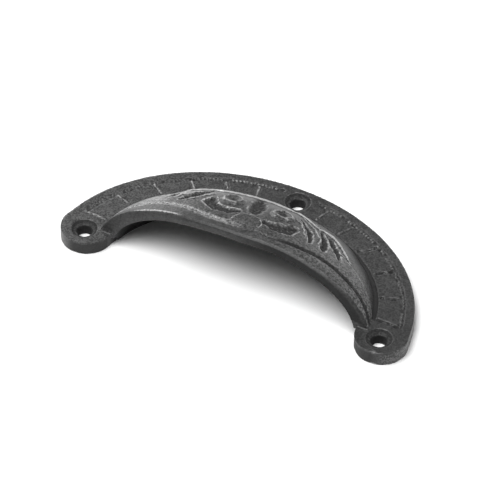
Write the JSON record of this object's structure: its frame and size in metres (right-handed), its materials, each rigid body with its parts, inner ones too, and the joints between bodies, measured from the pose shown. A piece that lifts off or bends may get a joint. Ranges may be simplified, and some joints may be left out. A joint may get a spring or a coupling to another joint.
{
  "type": "cup pull",
  "caption": "Cast iron cup pull with a carved hood, open at the back and at the finger mouth, on an arched plate with countersunk screw holes.",
  "frame": {"origin": "midway between the two ear screw holes, on the flat back", "axes": "+Z out of the drawer front, +X along the line of the two ear screws, +Y towards the arched top, so that the finger mouth faces -Y"},
  "size_m": [0.1022, 0.0467, 0.0189],
  "materials": {
    "cast_iron": "dark satin, as cast and waxed, worn lighter on the carving"
  },
  "bodies": {
    "root": {"cup_pull": "cast_iron"}
  },
  "joints": []
}
